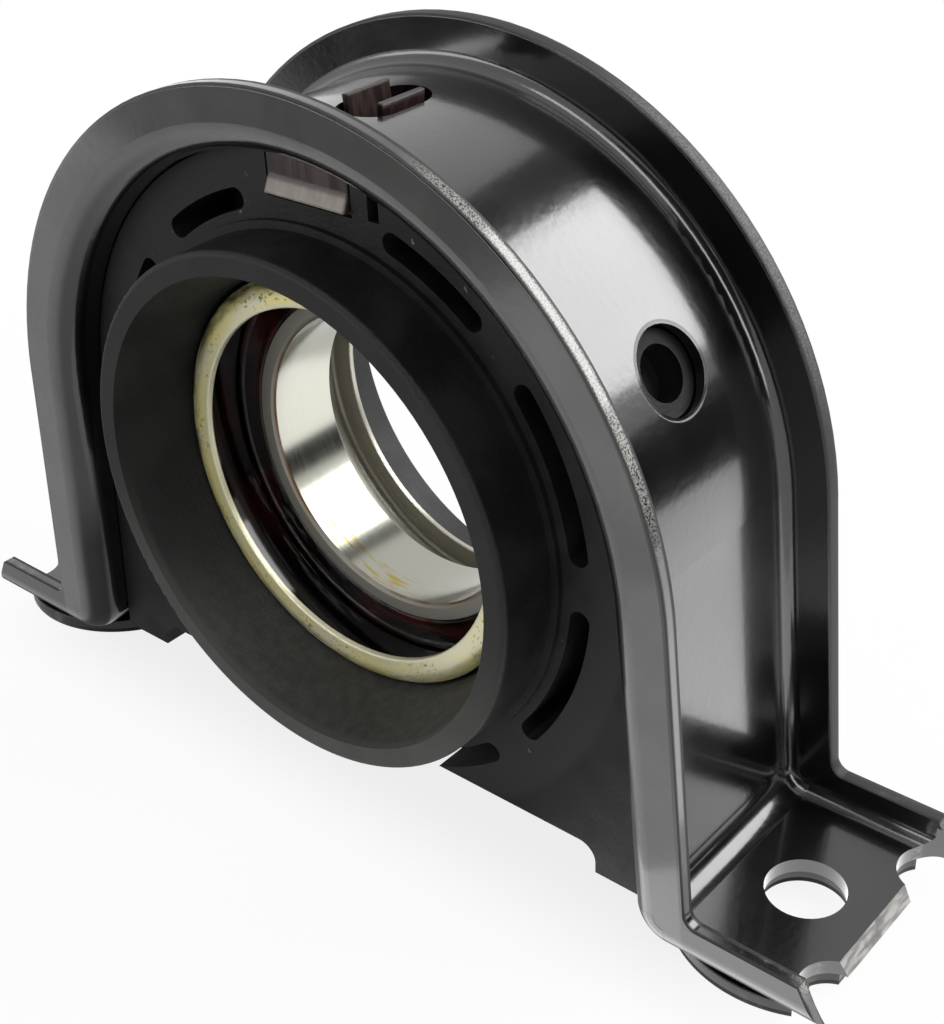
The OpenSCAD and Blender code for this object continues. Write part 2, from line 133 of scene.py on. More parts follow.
def linear(code):
    """Scene-linear colour of an sRGB hex value."""
    parts = [int(code[i:i + 2], 16) / 255 for i in (1, 3, 5)]
    return [p / 12.92 if p <= 0.04045 else ((p + 0.055) / 1.055) ** 2.4 for p in parts] + [1.0]


def colour(name, code, description):
    """A colour that the user may change."""
    return FloatVectorProperty(
        name=name, description=description, subtype="COLOR", size=4, min=0, max=1, default=linear(code))


def length(name, millimetres, description):
    """A size that the user may change."""
    return FloatProperty(
        name=name, description=description, unit="LENGTH", default=millimetres * MM, precision=5)


def angle(name, degrees, description):
    """An angle that the user may change."""
    return FloatProperty(name=name, description=description, subtype="ANGLE", default=math.radians(degrees))


def amount(name, value, description):
    """A plain number that the user may change."""
    return FloatProperty(name=name, description=description, default=value)


class FinishSettings(bpy.types.PropertyGroup):
    """Colours and pattern sizes of the finishes"""

    paint: colour("Paint", "#08080A", "Gloss black enamel of the bracket")
    # Painted light: on the bracket this grey is the front face of the front flange, lit by the front light;
    # on the foot plates it is rubbed patches
    lit_front_and_rubbed: colour("Paint film", "#525251", "Dull film on the front flange and on rubbed foot plates")
    scuff: colour("Scuffs", "#A9A8A2", "Bare specks along the rim of the bracket")
    bare_steel: colour("Bare steel", "#8C8A85", "Sheared ends of the feet")
    shear_marks: colour("Shear marks", "#4E4C49", "Dark streaks in the sheared ends of the feet")
    rubber: colour("Rubber", "#151515", "Moulded rubber of the cushion")
    rubber_bloom: colour("Rubber bloom", "#232322", "Pale bloom on the rubber")
    # Lighter grey on the lower half of the collar's front lip
    rubber_lip: colour("Rubbed lip", "#484846", "Lower half of the collar's front lip")
    rubber_flash: colour("Moulding flash", "#7C7C79", "Pale specks at the windows of the cushion")
    # Painted shade: darker rubber where the cushion lies under the bracket arch
    rubber_arch_shade: colour("Outer rubber", "#040404", "Darker rubber towards the bracket")
    # Painted light: lighter grey in patches on the upward-facing bottom of the front funnel
    rubber_funnel_light: colour("Dust", "#4E4E4B", "Dust in the bottom of the front funnel")
    clip: colour("Clip", "#241715", "Primer on the retaining clip")
    clip_streak: colour("Clip streaks", "#3E2E2B", "Pale streaks in the primer")
    clip_lip: colour("Clip lip", "#6C6862", "Rubbed lips of the retaining clip")
    clip_lip_streak: colour("Lip streaks", "#7E7971", "Pale streaks in the rubbed lips")
    zinc: colour("Yellow zinc", "#F6ECA4", "Yellow passivated zinc of the shields")
    # Pale zinc: thin passivation in random patches, and the painted highlight along the inner edge of the rim
    zinc_pale_and_highlight: colour("Pale zinc", "#ECE8C6", "Thin places of the passivation")
    zinc_dark: colour("Dirty zinc", "#7E7440", "Greasy specks on the shields")
    # Painted shade with grime: darker olive at the outer edge of the shields, where they meet the rubber,
    # stronger on the left
    zinc_shade_and_grime: colour("Grimy zinc", "#4A461E", "Grime at the outer edge of the shields")
    # The rear shield is coloured pale grey instead of yellow
    zinc_rear: colour("Worn zinc", "#B9B7AB", "Rear shield, where the yellow has worn off")
    sleeve: colour("Sleeve", "#A09A8C", "Drawn steel of the sleeve")
    steel: colour("Ground steel", "#A9A99F", "Ground and honed steel of the races")
    steel_face: colour("End faces", "#8C8A82", "Duller end faces of the races")
    stain: colour("Stain", "#6A4A2A", "Brown stain in the front corner of the bore")
    ball: colour("Balls", "#DCDDE0", "Lapped steel of the balls")
    cage: colour("Cage", "#A99A78", "Cold-rolled ribbon of the cage")
    grease: colour("Grease", "#A89030", "Amber grease on the inner race")
    seal_rust: colour("Rusty grease", "#3A1210", "Brown grease where it lies thick inside the seals")
    seal: colour("Seal", "#0B0606", "Greased rubber of the seals")
    orange_peel: length("Orange peel", 1.6, "Ripple size of the paint")
    # Painted reflection: width of the plain black line left beside the bracket rim, where the rounded edge
    # mirrors dark surroundings
    dark_reflection_line: length("Clean rim", 0.9, "Width of the clean dark line beside the bracket rim")
    edge_round: length("Edge rounding", 0.8, "Softening of the pressed and moulded edges")
    rubber_grain: length("Rubber grain", 0.7, "Grain size of the moulded rubber")
    grind_lines: length("Grinding lines", 0.25, "Spacing of the grinding lines on the races")


class StageSettings(bpy.types.PropertyGroup):
    """Camera and light"""

    azimuth: angle("Azimuth", 41.355, "Camera angle about the vertical")
    elevation: angle("Elevation", 31.354, "Camera angle above the floor")
    roll: angle("Roll", -2.593, "Turn of the camera about its own axis")
    distance: length("Distance", 324.27, "Camera distance from the aim point")
    slide: length("Slide", 32.98, "Sideways shift of the camera")
    lens: amount("Lens", 58.163, "Focal length in millimetres")
    floor_reach: length("Floor reach", 300, "Radius at which the floor melts into the background")
    key: amount("Key light", 13.0, "Power of the large soft lamp")
    fill: amount("Fill light", 3.5, "Power of the long front lamp")
    hoop: amount("Hoop light", 5.0, "Brightness of the curved strip light")
    ambient: amount("Ambient", 0.28, "Light from the white surroundings")


def add(tree, kind, *inputs, named=None, **settings):
    """Adds one shader node, sets it up, and fills or links its inputs in order or by name."""
    node = tree.nodes.new("ShaderNode" + kind)
    for name, value in settings.items():
        setattr(node, name, value)
    sockets = [s for s in node.inputs if s.enabled]
    pairs = list(zip(sockets, inputs))
    pairs += [(next(s for s in sockets if s.name == name), value) for name, value in (named or {}).items()]
    for socket, value in pairs:
        if isinstance(value, bpy.types.Node):
            value = next(s for s in value.outputs if s.enabled)
        if isinstance(value, bpy.types.NodeSocket):
            tree.links.new(value, socket)
        else:
            socket.default_value = value
    return node


def blank(name):
    """A new material with an empty node tree."""
    material = bpy.data.materials.new(name)
    material.use_nodes = True
    material.node_tree.nodes.clear()
    return material, material.node_tree


def surface(tree):
    """Place on the piece in millimetres, its parts, its distance from the shaft and the way it faces."""
    coords = add(tree, "TexCoord")
    place = add(tree, "VectorMath", coords.outputs["Object"], named={"Scale": 1 / MM}, operation="SCALE")
    flat = add(tree, "VectorMath", place, (1, 0, 1), operation="MULTIPLY")
    return SimpleNamespace(
        place=place,
        axes=add(tree, "SeparateXYZ", place).outputs,
        radius=add(tree, "VectorMath", flat, operation="LENGTH").outputs["Value"],
        facing=add(tree, "SeparateXYZ", coords.outputs["Normal"]).outputs)


def both(tree, *masks):
    """Product of several masks."""
    result = masks[0]
    for mask in masks[1:]:
        result = add(tree, "Math", result, mask, operation="MULTIPLY")
    return result


def within(tree, *spans):
    """Mask that rises to 1 where every value, given with the two ends of its span, has crossed that span."""
    masks = [add(tree, "MapRange", *span, interpolation_type="SMOOTHSTEP") for span in spans]
    return both(tree, *masks)


def patches(tree, place, size, low, high):
    """Soft patches of about the given size in millimetres, as a mask from 0 to 1."""
    cloud = add(tree, "TexNoise", place, 1 / size, 4.0)
    return within(tree, (cloud, low, high))


def ring_place(tree, at, along):
    """Place unrolled around the shaft, stretched so that a pattern runs along the ring."""
    turn = add(tree, "Math", at.axes["Z"], at.axes["X"], operation="ARCTAN2")
    stretched = add(tree, "Math", turn, along, operation="MULTIPLY")
    return add(tree, "CombineXYZ", stretched, at.axes["Y"], at.radius)


def layered(tree, base, *layers):
    """Colour under several layers, each given as its mask and its colour, from the lowest to the top."""
    for mask, over in layers:
        base = add(tree, "Mix", mask, base, over, data_type="RGBA")
    return base


def finished(tree, **inputs):
    """Closes a material with a principled shader fed by the named inputs."""
    names = {name.replace("_", " ").title().replace("Ior", "IOR"): value for name, value in inputs.items()}
    shader = add(tree, "BsdfPrincipled", named=names)
    add(tree, "OutputMaterial", shader)


def dress(material, *nodes):
    """Puts a material on the CAD nodes."""
    for name in nodes:
        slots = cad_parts[name].data.materials
        slots.clear()
        slots.append(material)


def rim_reach(tree, at):
    """Distance from the middle line of the arch and legs, the way out from it, and the distance sideways."""
    side = add(tree, "Math", at.axes["X"], operation="ABSOLUTE")
    high = add(tree, "Math", at.axes["Z"], -ARCH_Z, operation="ADD")
    along = add(tree, "Math", side, math.cos(LEG_LEAN), operation="MULTIPLY")
    out = add(tree, "Math", high, math.sin(LEG_LEAN), along, operation="MULTIPLY_ADD")
    rise = add(tree, "Math", high, math.cos(LEG_LEAN), operation="MULTIPLY")
    drop = add(tree, "Math", side, -math.sin(LEG_LEAN), rise, operation="MULTIPLY_ADD")
    above = add(tree, "Math", drop, 0.0, operation="MAXIMUM")
    arm = add(tree, "CombineXYZ", out, above)
    reach = add(tree, "VectorMath", arm, operation="LENGTH").outputs["Value"]
    least = add(tree, "Math", side, math.tan(LEG_LEAN), operation="MULTIPLY")
    lift = add(tree, "Math", high, least, operation="MAXIMUM")
    outward = add(tree, "CombineXYZ", at.axes["X"], 0.0, lift)
    return reach, add(tree, "VectorMath", outward, operation="NORMALIZE"), side


def sheet_edge(tree, at):
    """Mask of the sheared flange edges, the place across them from -1 to 1, and the sign of front or rear."""
    offset = add(tree, "Math", at.axes["Y"], -BRACKET_MID, operation="ADD")
    depth = add(tree, "Math", offset, operation="ABSOLUTE")
    inner = BRACKET_HALF - SHEET
    across = add(tree, "MapRange", depth, inner, BRACKET_HALF, -1.0, 1.0)
    level = add(tree, "Math", at.facing["Y"], operation="ABSOLUTE")
    cut = within(tree, (depth, inner - 0.2, inner), (level, 0.4, 0.3))
    return cut, across, add(tree, "Math", offset, operation="SIGN")


def rolled_edges(tree, finish, at, edge, reach, outward):
    """Normal of the bracket with the sheared edges of its flanges rolled round, as a press leaves them."""
    cut, across, sign = edge
    roll = finish.edge_round / MM
    tilt = add(tree, "Math", across, 3.0, operation="POWER")
    sideways = add(tree, "CombineXYZ", 0.0, both(tree, tilt, sign, cut, 0.7), 0.0)
    lip = within(tree, (reach, RIM - roll, RIM), (reach, RIM + 0.25, RIM + 0.1), (at.axes["Z"], *ABOVE_FOOT))
    outwards = add(tree, "VectorMath", outward, named={"Scale": lip}, operation="SCALE")
    normal = add(tree, "NewGeometry").outputs["Normal"]
    total = add(tree, "VectorMath", normal, sideways, operation="ADD")
    return add(tree, "VectorMath", total, outwards, operation="ADD")


def hole_lip(tree, at, side, normal):
    """Normal that also leans into the shoulder holes at their drawn rims."""
    slant = (math.cos(HOLE_ANGLE), 0.0, math.sin(HOLE_ANGLE))
    level = add(tree, "Math", at.axes["Y"], -HOLE_Y, operation="ADD")
    high = add(tree, "Math", at.axes["Z"], -ARCH_Z, operation="ADD")
    arm = add(tree, "CombineXYZ", side, level, high)
    along = add(tree, "VectorMath", arm, slant, operation="DOT_PRODUCT").outputs["Value"]
    foot = add(tree, "VectorMath", slant, named={"Scale": along}, operation="SCALE")
    away = add(tree, "VectorMath", arm, foot, operation="SUBTRACT")
    reach = add(tree, "VectorMath", away, operation="LENGTH").outputs["Value"]
    half = add(tree, "Math", at.axes["X"], operation="SIGN")
    flip = add(tree, "CombineXYZ", half, 1.0, 1.0)
    straight = add(tree, "VectorMath", away, operation="NORMALIZE")
    outward = add(tree, "VectorMath", straight, flip, operation="MULTIPLY")
    lean = both(tree, within(tree, (reach, *HOLE_LIP)), -1.1)
    leaned = add(tree, "VectorMath", outward, named={"Scale": lean}, operation="SCALE")
    total = add(tree, "VectorMath", normal, leaned, operation="ADD")
    return add(tree, "VectorMath", total, operation="NORMALIZE")


# Stoved black enamel over pressed steel: deep gloss with a slight ripple, a lighter grey painted on the front
# face for the front light on it, up to a painted dark reflection line at its rim, thin dull paint on the
# sheared edges, the rear rim and the low front bend, bare specks on the handled front rim and raw shear marks
# at the foot ends.
def black_enamel(finish):
    material, tree = blank("Black enamel on pressed steel")
    at = surface(tree)
    reach, outward, side = rim_reach(tree, at)
    edge = sheet_edge(tree, at)
    cut, across = edge[:2]
    spread = add(tree, "Math", across, operation="ABSOLUTE")
    rear = within(tree, (at.axes["Y"], *REAR_HALF))
    thin = add(tree, "Math", within(tree, (spread, 0.30, 0.70)), rear, operation="MAXIMUM")
    low_bend = within(
        tree, (at.facing["Y"], -0.98, -0.88), (at.facing["Y"], -0.2, -0.4),
        (at.axes["Z"], *LEGS_DOWN), (at.axes["Y"], *FRONT_BEND))
    dull = add(tree, "Math", both(tree, cut, thin), low_bend, operation="MAXIMUM")

    shoulder = within(tree, (side, *SHOULDER_OUT), (at.axes["Z"], *SHOULDER_UP))
    foot = both(tree, within(tree, (side, *FOOT_OUT)), patches(tree, at.place, 9, 0.42, 0.62))
    handled = add(tree, "Math", shoulder, foot, operation="MAXIMUM")
    mostly_front = add(tree, "Mix", within(tree, (at.axes["Y"], *FRONT_HALF)), 0.25, 1.0)
    worn = both(
        tree, cut, within(tree, (spread, 0.85, 0.50)), handled, mostly_front,
        patches(tree, at.place, 0.35, 0.36, 0.62))

    # Painted light: the front face of the front flange is painted lighter grey for the front light on it,
    # stopping short of the rim, where a painted dark reflection line stays
    face = within(tree, (at.axes["Y"], *FRONT_FACE), (reach, RIM - 0.3, RIM - finish.dark_reflection_line / MM))
    lit_face_and_grease_film = both(tree, face, add(tree, "Mix", patches(tree, at.place, 16, 0.3, 0.7), 0.75, 1.0))

    endways = add(tree, "Math", at.facing["X"], operation="ABSOLUTE")
    end = within(tree, (side, *FOOT_END), (endways, 0.6, 0.85), (at.axes["Y"], *BEHIND_FRONT))
    sheared = both(tree, end, patches(tree, at.place, 6, 0.30, 0.46))
    drawn = add(tree, "VectorMath", at.place, (1, 0.15, 1), operation="MULTIPLY")
    shear = layered(tree, finish.bare_steel, (patches(tree, drawn, 0.8, 0.35, 0.65), finish.shear_marks))

    tint = layered(tree, finish.paint, (lit_face_and_grease_film, finish.lit_front_and_rubbed), (worn, finish.scuff), (sheared, shear))
    gloss = add(tree, "Mix", patches(tree, at.place, 14, 0.3, 0.7), 0.19, 0.26)
    gloss = add(tree, "Mix", add(tree, "Math", worn, dull, operation="MAXIMUM"), gloss, 0.65)
    ripple = add(tree, "TexNoise", at.place, MM / finish.orange_peel, 2.0)
    rolled = hole_lip(tree, at, side, rolled_edges(tree, finish, at, edge, reach, outward))
    bump = add(tree, "Bump", 0.05, named={"Height": ripple, "Distance": MM, "Normal": rolled})
    finished(tree, base_color=tint, roughness=gloss, metallic=both(tree, sheared, 0.6), normal=bump,
             coat_weight=add(tree, "Mix", dull, 1.0, 0.0), coat_roughness=0.11)
    return material


# The same enamel on the flat plates under the feet, sprayed thinner, so it is duller and rubbed in places.
def plate_enamel(finish):
    material, tree = blank("Thin black enamel on steel plate")
    at = surface(tree)
    tint = layered(tree, finish.paint, (patches(tree, at.place, 5, 0.55, 0.75), finish.lit_front_and_rubbed))
    gloss = add(tree, "Mix", patches(tree, at.place, 9, 0.3, 0.7), 0.25, 0.42)
    soft_edges = add(tree, "Bevel", finish.edge_round, samples=4)
    finished(tree, base_color=tint, roughness=gloss, normal=soft_edges)
    return material


# Compression-moulded natural rubber: dull black with a grey bloom, pale specks of flash at the windows,
# a lighter grey on the lower half of the collar's front lip, painted light in patches on the upward-facing
# bottom of the front funnel and painted shade under the bracket arch.
# The grain is drawn coarser than real, so that it shows.
def moulded_rubber(finish):
    material, tree = blank("Moulded natural rubber")
    at = surface(tree)
    bloom = patches(tree, at.place, 12, 0.35, 0.75)
    # Lighter grey on the lower half of the collar's front lip
    lip = within(tree, (at.axes["Y"], *COLLAR_LIP), (at.axes["Z"], *LIP_BOTTOM))
    windows = within(tree, (at.radius, *WINDOW_START), (at.radius, *WINDOW_END))
    flash = both(tree, windows, patches(tree, at.place, 2.2, 0.70, 0.78))
    # Painted shade on the outer rubber, under the bracket arch
    outer = within(tree, (at.radius, *UNDER_ARCH))
    arm = add(tree, "CombineXYZ", at.axes["X"], 0.0, at.axes["Z"])
    faced = add(tree, "CombineXYZ", at.facing["X"], 0.0, at.facing["Z"])
    outward = add(tree, "VectorMath", arm, faced, operation="DOT_PRODUCT").outputs["Value"]
    funnel = within(
        tree, (outward, *FUNNEL_WALL), (at.axes["Z"], *FUNNEL_BOTTOM), (at.axes["Y"], *FUNNEL_FRONT))
    # Painted light: the upward-facing bottom of the front funnel is painted lighter grey in patches
    lit_funnel_bottom = both(tree, funnel, add(tree, "Mix", patches(tree, at.place, 2.5, 0.30, 0.70), 0.45, 0.75))
    tint = layered(
        tree, finish.rubber, (bloom, finish.rubber_bloom), (lip, finish.rubber_lip),
        (flash, finish.rubber_flash), (outer, finish.rubber_arch_shade), (lit_funnel_bottom, finish.rubber_funnel_light))
    gloss = add(tree, "Mix", bloom, 0.52, 0.68)
    grain = add(tree, "TexNoise", at.place, MM / finish.rubber_grain, 3.0)
    bump = add(tree, "Bump", 0.12, named={"Height": grain, "Distance": MM})
    finished(tree, base_color=tint, roughness=gloss, normal=bump, specular_ior_level=0.24)
    return material


# Red-brown primer on spring steel, with streaks down the strip, rubbed to a dull grey along the bent lips.
def primed_clip(finish):
    material, tree = blank("Primer on spring steel")
    at = surface(tree)
    lip = within(tree, (at.axes["Z"], *CLIP_LIP))
    drawn = add(tree, "VectorMath", at.place, (1, 1, 0.12), operation="MULTIPLY")
    streaks = patches(tree, drawn, 1.6, 0.35, 0.7)
    rubbed = layered(tree, finish.clip_lip, (streaks, finish.clip_lip_streak))
    tint = layered(tree, finish.clip, (streaks, finish.clip_streak), (lip, rubbed))
    gloss = add(tree, "Mix", streaks, 0.34, 0.46)
    soft_edges = add(tree, "Bevel", finish.edge_round, samples=4)
    finished(tree, base_color=tint, metallic=both(tree, lip, 0.6), roughness=gloss, normal=soft_edges)
    return material


# Yellow passivated zinc on pressed sheet: pale gold, thin in places, with a painted highlight at the inner
# edge, dark specks along the ring, painted shade with grime at the outer edge, and old grease inside the
# front shield.
# The rear shield is coloured pale grey instead of yellow.
def yellow_zinc(finish):
    material, tree = blank("Yellow passivated zinc on steel")
    at = surface(tree)
    around = ring_place(tree, at, 12)
    pale = patches(tree, around, 3, 0.40, 0.65)
    fine = patches(tree, ring_place(tree, at, 26), 0.7, 0.54, 0.68)
    specks = both(tree, fine, patches(tree, at.place, 11, 0.42, 0.60))
    # Painted highlight: the inner edge of the rim is painted pale
    inner_edge_highlight = within(tree, (at.radius, *SHIELD_INNER_EDGE))
    # Painted shade with grime at the outer edge of the rim, stronger on the left
    shade_and_grime = both(
        tree, within(tree, (at.radius, *SHIELD_OUTER_EDGE)),
        add(tree, "Mix", patches(tree, around, 2, 0.35, 0.60), 0.45, 1.0),
        add(tree, "Mix", within(tree, (at.axes["X"], *DARKER_SIDE)), 0.35, 1.0))
    # The rear shield is coloured pale grey instead of yellow
    rear = within(tree, (at.axes["Y"], *REAR_SHIELD))
    deep = add(tree, "Math", at.axes["Y"], operation="ABSOLUTE")
    greased = within(tree, (deep, *SHIELD_INSIDE), (at.axes["Y"], *FRONT_SHIELD))
    lit_face_and_grease_film = layered(tree, finish.seal, (patches(tree, around, 7, 0.5, 0.75), finish.seal_rust))
    tint = layered(
        tree, finish.zinc, (pale, finish.zinc_pale_and_highlight), (specks, finish.zinc_dark),
        (inner_edge_highlight, finish.zinc_pale_and_highlight), (shade_and_grime, finish.zinc_shade_and_grime), (rear, finish.zinc_rear), (greased, lit_face_and_grease_film))
    gloss = add(tree, "Mix", greased, add(tree, "Mix", specks, 0.30, 0.55), 0.10)
    soft_edges = add(tree, "Bevel", finish.edge_round, samples=4)
    finished(tree, base_color=tint, metallic=add(tree, "Mix", greased, 0.5, 0.0), roughness=gloss,
             normal=soft_edges)
    return material


# Ground and honed bearing steel: bright bore with lines around the shaft, a few thin smears of amber grease
# near the front, a brown stain in the corner, and duller end faces.
# The lines are drawn coarser than real, so that they show.
def ground_steel(finish):
    material, tree = blank("Ground bearing steel")
    at = surface(tree)
    lines = add(tree, "TexNoise", ring_place(tree, at, 0.6), MM / finish.grind_lines, 2.0)
    smeared = within(
        tree, (at.axes["Z"], *SMEAR_DOWN), (at.axes["X"], *SMEAR_RIGHT), (at.axes["X"], *SMEAR_LEFT),
        (at.axes["Y"], *SMEAR_BACK), (at.axes["Y"], *SMEAR_FRONT))
    wiped = patches(tree, ring_place(tree, at, 3), 0.8, 0.46, 0.62)
    greased = both(tree, smeared, wiped, patches(tree, at.place, 5, 0.34, 0.50), 0.9)
    level = add(tree, "Math", at.facing["Y"], operation="ABSOLUTE")
    end_face = within(tree, (level, 0.3, 0.6))
    corner = within(tree, (at.axes["Y"], *CORNER_BACK), (at.axes["Y"], *CORNER_FRONT))
    stained = both(tree, corner, patches(tree, at.place, 14, 0.35, 0.60))
    tint = layered(
        tree, finish.steel, (end_face, finish.steel_face), (greased, finish.grease), (stained, finish.stain))
    gloss = add(tree, "Mix", end_face, add(tree, "Mix", lines, 0.10, 0.26), 0.46)
    shine = add(tree, "Mix", end_face, 1.0, 0.55)
    bump = add(tree, "Bump", 0.04, named={"Height": lines, "Distance": 0.2 * MM})
    finished(tree, base_color=tint, metallic=shine, roughness=gloss, normal=bump)
    return material


# Nitrile seal under a film of old grease: nearly black with a wet gloss and rusty brown in the thick places.
def greased_seal(finish):
    material, tree = blank("Greased nitrile rubber")
    around = ring_place(tree, surface(tree), 18)
    tint = layered(tree, finish.seal, (patches(tree, around, 6, 0.45, 0.7), finish.seal_rust))
    waves = add(tree, "TexNoise", around, 1 / 4.0, 2.0)
    soft_edges = add(tree, "Bevel", finish.edge_round, samples=4)
    bump = add(tree, "Bump", 0.45, named={"Height": waves, "Distance": MM, "Normal": soft_edges})
    finished(tree, base_color=tint, roughness=0.10, normal=bump, coat_weight=0.5, coat_roughness=0.05)
    return material


# Drawn steel tube, cold-rolled ribbon and lapped balls, hidden inside: an even metal, slightly cloudy.
def plain_steel(name, tint, smooth, rough, cloud):
    material, tree = blank(name)
    gloss = add(tree, "Mix", patches(tree, surface(tree).place, cloud, 0.3, 0.7), smooth, rough)
    finished(tree, base_color=tint, metallic=1.0, roughness=gloss)
    return material


class BEARING_OT_bracket(bpy.types.Operator):
    """Paint the bracket and the plates under its feet"""

    bl_idname = "bearing.bracket"
    bl_label = "Bracket"

    def execute(self, context):
        finish = context.scene.bearing_finish
        dress(black_enamel(finish), "bracket")
        dress(plate_enamel(finish), "foot_plate_left", "foot_plate_right")
        return {"FINISHED"}


class BEARING_OT_cushion(bpy.types.Operator):
    """Give the cushion its rubber"""

    bl_idname = "bearing.cushion"
    bl_label = "Rubber cushion"

    def execute(self, context):
        dress(moulded_rubber(context.scene.bearing_finish), "rubber_cushion")
        return {"FINISHED"}


class BEARING_OT_clip(bpy.types.Operator):
    """Prime the retaining clip"""

    bl_idname = "bearing.clip"
    bl_label = "Retaining clip"

    def execute(self, context):
        dress(primed_clip(context.scene.bearing_finish), "retaining_clip")
        return {"FINISHED"}


class BEARING_OT_shields(bpy.types.Operator):
    """Plate the shields and give the sleeve its drawn steel"""

    bl_idname = "bearing.shields"
    bl_label = "Shields and sleeve"

    def execute(self, context):
        finish = context.scene.bearing_finish
        tube = plain_steel("Drawn steel tube", finish.sleeve, smooth=0.35, rough=0.5, cloud=6)
        dress(yellow_zinc(finish), "front_shield", "rear_shield")
        dress(tube, "bearing_sleeve")
        return {"FINISHED"}


class BEARING_OT_races(bpy.types.Operator):
    """Grind the races, lap the balls and roll the cage"""

    bl_idname = "bearing.races"
    bl_label = "Races, balls and cage"

    def execute(self, context):
        finish = context.scene.bearing_finish
        lapped = plain_steel("Lapped ball steel", finish.ball, smooth=0.06, rough=0.10, cloud=4)
        ribbon = plain_steel("Cold-rolled cage ribbon", finish.cage, smooth=0.28, rough=0.42, cloud=3)
        dress(ground_steel(finish), "inner_race", "outer_race")
        dress(lapped, *BALLS)
        dress(ribbon, "cage_front", "cage_rear", "cage_rivets")
        return {"FINISHED"}


class BEARING_OT_seals(bpy.types.Operator):
    """Give the seals their greased rubber"""

    bl_idname = "bearing.seals"
    bl_label = "Seals"

    def execute(self, context):
        dress(greased_seal(context.scene.bearing_finish), "front_seal", "rear_seal")
        return {"FINISHED"}


def seen_directly(tree):
    """Mask that is 1 for rays from the camera and for reflections."""
    path = add(tree, "LightPath")
    seen = path.outputs["Is Camera Ray"]
    for name in ("Is Glossy Ray", "Is Transmission Ray"):
        seen = add(tree, "Math", seen, path.outputs[name], operation="MAXIMUM").outputs[0]
    return seen


def white_surroundings(stage):
    """World that looks white and lights the part softly."""
    world = bpy.data.worlds.new("White studio")
    world.use_nodes = True
    tree = world.node_tree
    tree.nodes.clear()
    strength = add(tree, "Mix", seen_directly(tree), stage.ambient, 1.0)
    glow = add(tree, "Background", (1, 1, 1, 1), strength)
    add(tree, "OutputWorld", glow)
    bpy.context.scene.world = world


def floor(stage):
    """White floor that keeps the part's shadow, dims under it and melts into the background further out."""
    bpy.ops.mesh.primitive_circle_add(
        vertices=96, radius=3 * stage.floor_reach, fill_type="NGON", location=(0, 0, CAD_BOX[0][2]))
    plate = bpy.context.object
    plate.name = "floor"
    material, tree = blank("White paper")
    spot = add(tree, "TexCoord").outputs["Object"]
    reach = add(tree, "VectorMath", spot, operation="LENGTH").outputs["Value"]
    far = add(tree, "MapRange", reach, 0.5 * stage.floor_reach, stage.floor_reach, 0.95, 1.0)
    away = add(tree, "VectorMath", spot, operation="ABSOLUTE")
    away = add(tree, "VectorMath", away, named={"Scale": 1 / MM}, operation="SCALE")
    away = add(tree, "SeparateXYZ", away).outputs
    below = within(tree, (away["X"], *UNDER_X), (away["Y"], *UNDER_Y))
    straight = add(tree, "LightPath").outputs["Is Camera Ray"]
    shade = both(tree, below, add(tree, "Mix", straight, 1.0, 0.14))
    open_floor = add(tree, "Math", 1.0, shade, operation="SUBTRACT")
    share = both(tree, seen_directly(tree), far, open_floor)
    paper = add(tree, "BsdfDiffuse", (0.9, 0.9, 0.9, 1))
    glow = add(tree, "Emission", (1, 1, 1, 1), 1.0)
    add(tree, "OutputMaterial", add(tree, "MixShader", share, paper, glow))
    plate.data.materials.append(material)


def aimed(direction, distance, upward):
    """Place at a distance in the given direction, turned to face the part with its height along upward."""
    towards = Vector(direction).normalized()
    across = Vector(upward).cross(towards).normalized()
    place = Matrix((across, towards.cross(across), towards)).transposed().to_4x4()
    place.translation = towards * distance
    return place


def soft_lamp(name, direction, distance, upward, width, height, power):
    """Rectangular lamp that faces the part from the given direction."""
    lamp = bpy.data.lights.new(name, "AREA")
    lamp.shape = "RECTANGLE"
    lamp.size = width
    lamp.size_y = height
    lamp.energy = power
    holder = bpy.data.objects.new(name, lamp)
    bpy.context.scene.collection.objects.link(holder)
    holder.matrix_world = aimed(direction, distance, upward)
    holder.visible_camera = False


def mirrored_only(holder, level):
    """Makes a card that only reflections see, as bright as its level."""
    material, tree = blank(holder.name)
    add(tree, "OutputMaterial", add(tree, "Emission", (1, 1, 1, 1), level))
    holder.data.materials.append(material)
    for ray in ("camera", "diffuse", "transmission", "volume_scatter", "shadow"):
        setattr(holder, "visible_" + ray, False)


def flat_card(name, place, width, height, level):
    """Flat card at the given place, which only reflections see."""
    bpy.ops.mesh.primitive_plane_add(size=1)
    holder = bpy.context.object
    holder.name = name
    holder.matrix_world = place @ Matrix.Diagonal((width, height, 1, 1))
    mirrored_only(holder, level)


def card(name, direction, distance, upward, width, height, level):
    """Flat card that faces the part from the given direction."""
    flat_card(name, aimed(direction, distance, upward), width, height, level)


def floor_board(name, centre, turn, width, depth, level):
    """Flat board that lies just over the floor."""
    place = Matrix.Translation(Vector((*centre, CAD_BOX[0][2] + MM))) @ Matrix.Rotation(turn, 4, "Z")
    flat_card(name, place, width, depth, level)


def light_hoop(name, radius, near, far, start, sweep, level):
    """Curved strip light around the shaft axis, which draws the thin highlights along the bends."""
    mesh = bmesh.new()
    ends = [mesh.verts.new((radius * math.cos(start), y, radius * math.sin(start))) for y in (near, far)]
    strip = mesh.edges.new(ends)
    bmesh.ops.spin(mesh, geom=[strip, *ends], axis=(0, -1, 0), cent=(0, 0, 0), angle=sweep, steps=24)
    data = bpy.data.meshes.new(name)
    mesh.to_mesh(data)
    mesh.free()
    holder = bpy.data.objects.new(name, data)
    bpy.context.scene.collection.objects.link(holder)
    mirrored_only(holder, level)


